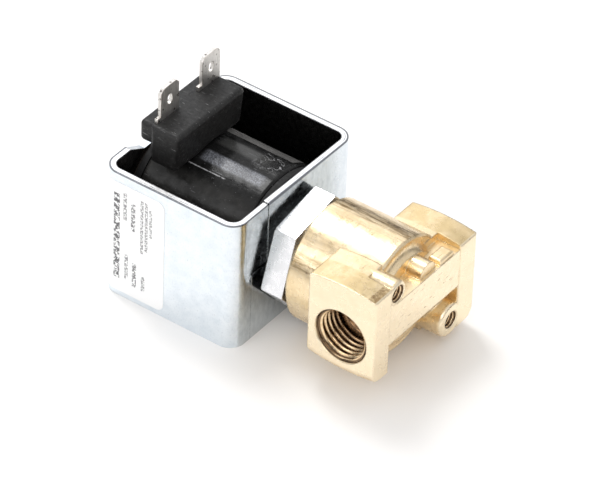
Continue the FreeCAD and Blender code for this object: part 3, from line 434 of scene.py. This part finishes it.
def yoke_look():
    """Zinc on bent strip: satin outside, painted darker and glossy on the front plate, painted near black
    inside as shade and the coil's dark reflection, bright rim.
    """
    look = Look("satin_zinc", {"Metallic": 1.0})
    edge = look.rounded(0.22)
    front = look.product(look.spread(look.x, YOKE_FRONT - 0.6, YOKE_FRONT - 0.2),
                         look.spread(look.y, 10.0, 18.0, 1.0, 0.0))
    inside = look.product(look.band(look.x, YOKE_BACK + STRIP - 0.1, YOKE_FRONT - STRIP + 0.1, 0.05),
                          look.band(look.y, STRIP - YOKE_HALF - 0.1, YOKE_HALF - STRIP + 0.1, 0.05),
                          look.spread(look.z, YOKE_TOP - 0.4, YOKE_TOP - 0.1, 1.0, 0.0))
    # Painted shade inside the yoke: its shadow and the dark coil it reflects.
    inner_shade = look.mix(look.patches(0.7, 4, (0.35, 0.7)), ZINC["shade_inside"], ZINC["deep_shade_inside"])
    colour = look.mix(front, zinc_skin(look), front_plate(look))
    colour = look.mix(inside, colour, inner_shade)
    colour = look.mix(look.spread(look.z, YOKE_TOP - 0.35, YOKE_TOP - 0.15), colour, cut_rim(look))
    # Edges painted darker: painted shade over the bright room they would reflect.
    colour = look.mix(look.product(edge, 0.35), colour, ZINC["edge"])
    glossy = look.math("MAXIMUM", front, look.product(inside, 0.35))
    rough = look.math("SUBTRACT", look.patches(0.9, 4, MOST, (0.28, 0.40)), look.product(glossy, 0.17))
    look.bump(look.noise(1.3, 4, 0.6), 0.012)
    look.bump(look.noise(6.0, 3, 0.6), 0.005)
    return look.finish(colour, rough)


def steel_look(name, light, dark):
    """Machined steel with turning lines round the X axis, and painted highlights along its edges."""
    look = Look(name, {"Metallic": 1.0})
    edge = look.rounded(0.2)
    colour = look.mix(look.patches(1.2, 4, (0.35, 0.7)), light, dark)
    # Painted highlight along the edges.
    colour = look.mix(look.product(edge, 0.5), colour, STEEL_EDGE_HIGHLIGHT)
    look.bump(look.noise(4.0, 3, 0.6, stretch=(3.0, 0.15, 0.15)), 0.01)
    return look.finish(colour, look.patches(2.0, 3, MOST, (0.22, 0.38)))


def blade_look():
    """Tin plate: grey, brushed along the blade, with small brown specks and warm worn edges."""
    look = Look("tinned_blade", {"Metallic": 1.0})
    edge = look.rounded(0.18)
    brushed = look.patches(3.2, 5, (0.35, 0.68), roughness=0.7, stretch=(1.0, 1.6, 0.16))
    colour = look.mix(brushed, BLADE["light"], BLADE["deep"])
    speck = look.product(look.dots(0.85, 0.14, 0.30), look.patches(0.7, 2, (0.42, 0.52)), 0.9)
    colour = look.mix(speck, colour, BLADE["speck"])
    colour = look.mix(look.product(edge, 0.55), colour, BLADE["edge"])
    look.bump(brushed, 0.006)
    return look.finish(colour, look.patches(2.0, 3, MOST, (0.32, 0.48)))


# ---- plastics, tape and label ----

def moulding_look(name):
    """Charcoal moulding: fine grain, pale scuffs, and edges made lighter, partly wear and partly painted
    highlight.
    """
    look = Look(name, {"Specular IOR Level": 0.36})
    edge = look.rounded(0.6)
    colour = look.mix(look.patches(1.0, 5, (0.35, 0.7), roughness=0.65), MOULDING["deep"],
                      MOULDING["light"])
    scuff = look.patches(1.4, 5, (0.56, 0.74), (0.0, 0.6), 0.75, (0.35, 1.4, 1.4), 0.3)
    colour = look.mix(scuff, colour, MOULDING["scuff"])
    nick = look.patches(1.1, 2, (0.70, 0.74), (0.0, 0.8), 0.5, (0.25, 2.6, 2.0), 0.5)
    colour = look.mix(nick, colour, MOULDING["nick"])
    colour = look.mix(look.dots(1.6, 0.0, 0.13, 0.35), colour, MOULDING["dust"])
    # Edges lighter: wear and painted highlight.
    colour = look.mix(look.product(edge, 0.22), colour, MOULDING["edge"])
    look.bump(look.noise(7.0, 3, 0.6), 0.012)
    look.bump(scuff, 0.008)
    return look.finish(colour, look.patches(1.5, 4, MOST, (0.36, 0.58)))


def tape_shine(look, colour):
    """Painted reflections: soft grey bands along the coil, where tape this glossy shows its surroundings."""
    speckled = look.patches(2.8, 5, (0.42, 0.62), (0.25, 1.0), 0.8)
    # Painted highlight band along the top of the coil, speckled.
    crown = look.product(look.arc(99, 107, 2.5), look.band(look.x, -56.5, -42.0, 1.5),
                         look.patches(0.25, 3, (0.30, 0.55), (0.6, 1.0)), speckled, 0.9)
    colour = look.mix(crown, colour, TAPE["crown"])
    # Painted reflection: a grey strip at the coil's far edge.
    strip = look.product(look.arc(47, 66, 0.6), look.band(look.x, -60.0, -41.0, 0.25),
                         look.spread(look.x, -60.0, -43.0, 1.0, 0.6), 0.95)
    colour = look.mix(strip, colour, TAPE["strip"])
    # Painted sheen: a faint grey band near the top.
    haze_reflection = look.product(look.arc(78, 86, 4), look.band(look.x, -56.0, -45.0, 2.0), 0.7)
    colour = look.mix(haze_reflection, colour, TAPE["haze_reflection"])
    # Painted sheen on the coil's near flank, in patches.
    flank = look.product(look.arc(128, 165, 12), look.patches(0.4, 4, MOST, (0.4, 1.0)), 0.5)
    return look.mix(flank, colour, TAPE["flank"])


def tape_scratches(look, colour):
    """Fine scratches along the coil, one long pale line, and dust."""
    scratch = look.patches(1.2, 2, (0.70, 0.73), (0.0, 0.6), 0.5, (0.12, 2.2, 2.2), 0.2)
    colour = look.mix(scratch, colour, TAPE["scratch"])
    line = look.product(look.arc(114.5, 115.1, 0.25), look.band(look.x, -59.6, -49.0, 0.4),
                        look.patches(0.8, 3, (0.36, 0.50), roughness=0.7), 0.9)
    colour = look.mix(line, colour, TAPE["line"])
    return look.mix(look.dots(0.9, 0.0, 0.09, 0.7), colour, TAPE["dust"])


def tape_look():
    """Glossy black tape with a speckled painted highlight along the crown, dust, and wrinkles where its end
    is tucked in, with painted highlights on their creases.
    """
    look = Look("black_tape", {"Specular IOR Level": 0.24})
    colour = look.mix(look.patches(0.5, 4, (0.35, 0.7)), TAPE["deep"], TAPE["light"])
    colour = tape_scratches(look, tape_shine(look, colour))
    look.bump(look.noise(0.9, 3, 0.5, stretch=(0.5, 1, 1)), 0.04)
    tucked = look.product(look.band(look.x, -45.5, -41.0, 2.0), look.arc(70, 86, 8))
    creases = look.noise(1.3, 3, 0.6, stretch=(1.0, 0.5, 0.5), distortion=1.6)
    look.bump(look.product(creases, tucked), 0.45)
    # Painted highlights on the creases of the tucked end.
    crease_highlight = look.noise(0.28, 1, 0.4, stretch=(1.3, 1.0, 1.0), distortion=0.8)
    crease_highlight = look.product(look.band(crease_highlight, 0.498, 0.502, 0.008), tucked, 0.85)
    colour = look.mix(crease_highlight, colour, TAPE["painted_crease_highlight"])
    return look.finish(colour, look.patches(0.8, 4, MOST, (0.17, 0.30)))


def label_look():
    """White coated paper with rows of plain grey blots in place of print."""
    look = Look("white_label", {"Specular IOR Level": 0.5})
    colour = look.mix(look.patches(0.3, 3, MOST), LABEL["light"], LABEL["deep"])
    for middle, half_width, low, high, grain, strength in LABEL_ROWS:
        blots = look.patches(grain, 3, (0.46, 0.51), roughness=0.75, stretch=(0.9, 0.0, 1.0))
        row = look.product(look.band(look.x, middle - half_width, middle + half_width, 0.06),
                           look.band(look.z, low, high, 0.1))
        colour = look.mix(look.product(row, blots, strength), colour, LABEL["print"])
    look.bump(look.noise(1.2, 3), 0.006)
    return look.finish(colour, look.patches(0.8, 3, MOST, (0.30, 0.42)))


def copper_look():
    """Enamelled copper with a ripple along X for its turns."""
    look = Look("enamelled_copper", {"Metallic": 1.0})
    inputs = {"Vector": look.mm, "Scale": 1.0, "Distortion": 0.6, "Detail": 2.0}
    turns = look.node("ShaderNodeTexWave", {"bands_direction": "X"}, inputs).outputs[1]
    colour = look.mix(turns, COPPER["deep"], COPPER["light"])
    look.bump(turns, 0.08)
    return look.finish(colour, look.patches(1.0, 3, MOST, (0.25, 0.40)))


def soft_look(name, light, dark, constants):
    """Matte rubber or fibre with a fine grain."""
    look = Look(name, constants)
    colour = look.mix(look.patches(1.5, 4, (0.35, 0.7)), light, dark)
    look.bump(look.noise(6.0, 3), 0.02)
    return look.finish(colour, look.patches(2.0, 3, MOST, (0.55, 0.75)))


def floor_look():
    look = Look("studio_floor", {"Specular IOR Level": 0.1})
    colour = look.mix(look.patches(0.01, 2, MOST), FLOOR["deep"], FLOOR["light"])
    return look.finish(colour, look.patches(0.02, 2, MOST, (0.75, 0.85)))


def dress(looks, dressed):
    """Give each CAD node its one material."""
    for name, nodes in dressed.items():
        for node in nodes:
            slots = NODES[node].data.materials
            slots.clear()
            slots.append(looks[name])


# ---- pieces ----

def piece(name, vertices, faces, look, body):
    """Smooth mesh, given in millimetres, that rides with a body."""
    mesh = bpy.data.meshes.new(name)
    mesh.from_pydata([Vector(vertex) * MM for vertex in vertices], [], faces)
    mesh.validate()
    for polygon in mesh.polygons:
        polygon.use_smooth = True
    made = bpy.data.objects.new(name, mesh)
    SCENE.collection.objects.link(made)
    made.data.materials.append(look)
    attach(made, body)
    return made


def wrapped_grid(rows, columns, point, closed_rows=False):
    """Vertices and faces of a surface that closes round its columns, and round its rows if asked."""
    vertices = [point(row, column) for row in range(rows) for column in range(columns)]
    faces = []
    last = rows if closed_rows else rows - 1
    for row in range(last):
        following = (row + 1) % rows
        for column in range(columns):
            beside = (column + 1) % columns
            faces.append((row * columns + column, row * columns + beside,
                          following * columns + beside, following * columns + column))
    return vertices, faces


def thread_ridge(place):
    """Height of a truncated vee ridge over one pitch, for a place from 0 to 1."""
    root_flat, flank = 0.10, 0.74
    height = 1.0 - abs(place * 2.0 - 1.0)
    return min(1.0, max(0.0, (height - root_flat) / flank))


def thread_sleeve(name, mouth, inward, root, crest, pitch, depth, point_depth, look):
    """Helical ridges that line a bore; mouth is the bore's open end and inward points into it.

    Over point_depth at the far end the lining follows the drill point and the ridges run out.
    """
    axis = Vector(inward)
    side = axis.orthogonal().normalized()
    other = axis.cross(side)
    columns, per_pitch = 96, 16
    rows = int((depth + point_depth) / pitch * per_pitch)
    narrowing = (PORT_RADIUS - PASSAGE_RADIUS) / PORT_POINT
    run_in, run_off = pitch * 0.35, pitch * 0.9
    gap, narrowest = 0.03, PASSAGE_RADIUS * 0.2

    def point(row, column):
        along = row * pitch / per_pitch
        turn = column / columns
        fade = min(1.0, along / run_in, (depth + 0.5 * point_depth - along) / run_off)
        ridge = thread_ridge((along / pitch + turn) % 1.0) * max(0.0, fade)
        wall = root - max(0.0, along - depth) * narrowing
        radius = max(wall - gap - ridge * (root - crest), narrowest)
        angle = turn * math.tau
        return Vector(mouth) + axis * along + (side * math.cos(angle) + other * math.sin(angle)) * radius

    vertices, faces = wrapped_grid(rows, columns, point)
    piece(name, vertices, faces, look, "valve")


def threads(look):
    """Both ports' pipe threads and both mounting holes' screw threads, each from inside its chamfer."""
    port_set, hole_set, point_set = 0.30, 0.2, 0.1
    for name, side in (("near", -1), ("far", 1)):
        mouth = (PORT_X, side * (PORT_FACE - port_set), PORT_Z)
        thread_sleeve(f"port_thread_{name}", mouth, (0, -side, 0), PORT_RADIUS, PORT_CREST, PORT_PITCH,
                      PORT_DEPTH - port_set, PORT_POINT - point_set, look)
        mouth = (-hole_set, side * HOLE_PLACE, -side * HOLE_PLACE)
        thread_sleeve(f"screw_thread_{name}", mouth, (-1, 0, 0), HOLE_RADIUS, HOLE_CREST, HOLE_PITCH,
                      HOLE_DEPTH, 0.0, look)


def wrap_radius(x_place, along, angle):
    """Outer radius of the tape: uneven, thicker where it laps over its own end, rolled in at both ends."""
    slack, unevenness, ripple, lap_rise, lap_fade = 0.22, 0.10, 0.05, 0.07, 0.9
    roll, roll_width = 0.5, 0.7
    where = Vector((x_place * 0.12, math.cos(angle) * 2.2, math.sin(angle) * 2.2))
    radius = WRAP_OUTER - slack + unevenness * noise.noise(where)
    radius += ripple * noise.noise(Vector((x_place * 0.5, angle * 6.0, 1.7)))
    past_lap = (angle - math.radians(WRAP_LAP)) % math.tau
    radius += lap_rise * math.exp(-past_lap / lap_fade)
    to_end = min(along, 1.0 - along) * (WRAP_FRONT - WRAP_BACK)
    radius -= roll * max(0.0, 1.0 - to_end / roll_width) ** 2
    return min(radius, WRAP_OUTER)


def tape_wrap(look):
    """Coil tape: slightly uneven turns, a lapped end along the coil and rolled edges at both ends."""
    columns, rows = 300, 96

    def point(row, column):
        angle = column / columns * math.tau
        if row < rows:
            along = row / (rows - 1)
            x_place = WRAP_BACK + (WRAP_FRONT - WRAP_BACK) * along
            radius = wrap_radius(x_place, along, angle)
        else:
            x_place = WRAP_FRONT if row == rows else WRAP_BACK
            radius = WRAP_INNER
        return (x_place, radius * math.cos(angle), radius * math.sin(angle))

    vertices, faces = wrapped_grid(rows + 2, columns, point, closed_rows=True)
    wrap = piece("tape_wrap", vertices, faces, look, "coil")
    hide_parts("coil_wrap")


def spring_coil(look):
    """Plunger spring with closed end turns."""
    rows, columns = 220, 10
    length = SPRING_FRONT - SPRING_BACK
    # Share of the wire in each closed end, and the length that the closed ends take up.
    closed_share, closed_length = 0.10, 0.55

    def centre(share):
        turn = share * SPRING_TURNS * math.tau
        opened = min(1.0, max(0.0, (share - closed_share) / (1.0 - 2 * closed_share)))
        x_place = SPRING_BACK + closed_length * share + (length - closed_length) * opened
        return Vector((x_place, SPRING_RADIUS * math.sin(turn), -SPRING_RADIUS * math.cos(turn)))

    def point(row, column):
        middle = centre(row / (rows - 1))
        radial = Vector((0, middle.y, middle.z)).normalized()
        angle = column / columns * math.tau
        along = Vector((1, 0, 0)) * math.sin(angle)
        return middle + (radial * math.cos(angle) + along) * SPRING_WIRE

    vertices, faces = wrapped_grid(rows, columns, point)
    faces.append(tuple(reversed(range(columns))))
    faces.append(tuple(range((rows - 1) * columns, rows * columns)))
    spring = piece("spring_coil", vertices, faces, look, "valve")
    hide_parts("plunger_spring")
    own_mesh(spring)


# ---- studio ----

def floor(look):
    """Pale floor under the yoke, the lowest piece."""
    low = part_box("yoke")[0].z
    half = FLOOR_HALF
    mesh = bpy.data.meshes.new("floor")
    corners = [(-half, -half, low), (half, -half, low), (half, half, low), (-half, half, low)]
    mesh.from_pydata(corners, [], [(0, 1, 2, 3)])
    made = bpy.data.objects.new("floor", mesh)
    made.data.materials.append(look)
    SCENE.collection.objects.link(made)


def softbox(name, direction, distance, width, height, power, colour):
    """Area light that faces the middle of the valve."""
    light = bpy.data.lights.new(name, "AREA")
    light.shape = "RECTANGLE"
    light.size = width
    light.size_y = height
    light.energy = power
    light.color = colour
    made = bpy.data.objects.new(name, light)
    away = Vector(direction).normalized()
    made.location = LIGHT_AIM + away * distance
    made.rotation_euler = away.to_track_quat("Z", "Y").to_euler()
    SCENE.collection.objects.link(made)


def surroundings():
    """White room, grey from the horizon to low on its walls."""
    world = bpy.data.worlds.new("studio")
    world.use_nodes = True
    SCENE.world = world
    tree = world.node_tree
    background = tree.nodes["Background"]
    toward = tree.nodes.new("ShaderNodeTexCoord").outputs["Generated"]
    split = tree.nodes.new("ShaderNodeSeparateXYZ")
    tree.links.new(toward, split.inputs[0])
    ramp = tree.nodes.new("ShaderNodeValToRGB")
    tree.links.new(split.outputs["Z"], ramp.inputs[0])
    steps = ramp.color_ramp.elements
    steps[0].position, steps[0].color = 0.0, HORIZON
    steps[1].position, steps[1].color = 1.0, ZENITH
    for position, grey in ROOM_STEPS:
        step = steps.new(position)
        step.color = (grey, grey, grey * 1.02, 1)
    tree.links.new(ramp.outputs[0], background.inputs["Color"])
    background.inputs["Strength"].default_value = ROOM_STRENGTH


def camera():
    """Long lens from above the front-left corner, matched to the reference view."""
    azimuth, elevation, roll = (math.radians(angle) for angle in (CAMERA_TURN, CAMERA_RISE, CAMERA_ROLL))
    back = Vector((math.sin(azimuth) * math.cos(elevation), -math.cos(azimuth) * math.cos(elevation),
                   math.sin(elevation)))
    right = Vector((math.cos(azimuth), math.sin(azimuth), 0))
    up = back.cross(right)
    rolled_right = right * math.cos(roll) + up * math.sin(roll)
    rolled_up = up * math.cos(roll) - right * math.sin(roll)
    beside, above, behind = CAMERA_PLACE
    place = rolled_right * beside + rolled_up * above + back * behind + Vector((YOKE_FRONT, 0, 0))
    lens = bpy.data.cameras.new("camera")
    lens.lens = LENS
    lens.sensor_width = SENSOR
    lens.clip_start = 0.01
    lens.clip_end = 20
    made = bpy.data.objects.new("camera", lens)
    turn = Matrix((rolled_right, rolled_up, back)).transposed()
    made.matrix_world = Matrix.Translation(place * MM) @ turn.to_4x4()
    SCENE.collection.objects.link(made)
    SCENE.camera = made


def main():
    looks = {
        "brass": brass_look(),
        "nut": nut_look(),
        "yoke": yoke_look(),
        "steel": steel_look("machined_steel", (0.72, 0.72, 0.72), (0.52, 0.52, 0.53)),
        "blade": blade_look(),
        "moulding": moulding_look("charcoal_moulding"),
        "bobbin": soft_look("black_nylon", (0.008, 0.008, 0.008), (0.014, 0.014, 0.014),
                            {"Specular IOR Level": 0.3}),
        "label": label_look(),
        "copper": copper_look(),
        "rubber": soft_look("black_rubber", (0.02, 0.02, 0.02), (0.04, 0.04, 0.04), {}),
        "fibre": soft_look("brown_fibre", (0.020, 0.014, 0.010), (0.035, 0.024, 0.016), {}),
    }
    dress(looks, {
        "brass": ["valve_body"],
        "nut": ["bonnet_nut", "retaining_clip"],
        "yoke": ["yoke", "flux_bush_front", "flux_bush_rear"],
        "steel": ["enclosing_tube", "fixed_core", "wave_washer", "plunger", "plunger_spring"],
        "blade": ["terminal_left", "terminal_right"],
        "moulding": ["terminal_block"],
        "bobbin": ["bobbin"],
        "label": ["rating_label"],
        "copper": ["shading_ring", "coil_winding", "lead_left", "lead_right"],
        "rubber": ["body_o_ring", "plunger_seal"],
        "fibre": ["insulating_washer_front", "insulating_washer_rear"],
    })
    threads(thread_look())
    tape_wrap(tape_look())
    spring_coil(looks["steel"])
    floor(floor_look())
    surroundings()
    for light in LIGHTS:
        softbox(*light)
    camera()
    SCENE.view_settings.view_transform = "Standard"
    SCENE.view_settings.look = "None"


main()
bpy.context.view_layer.update()
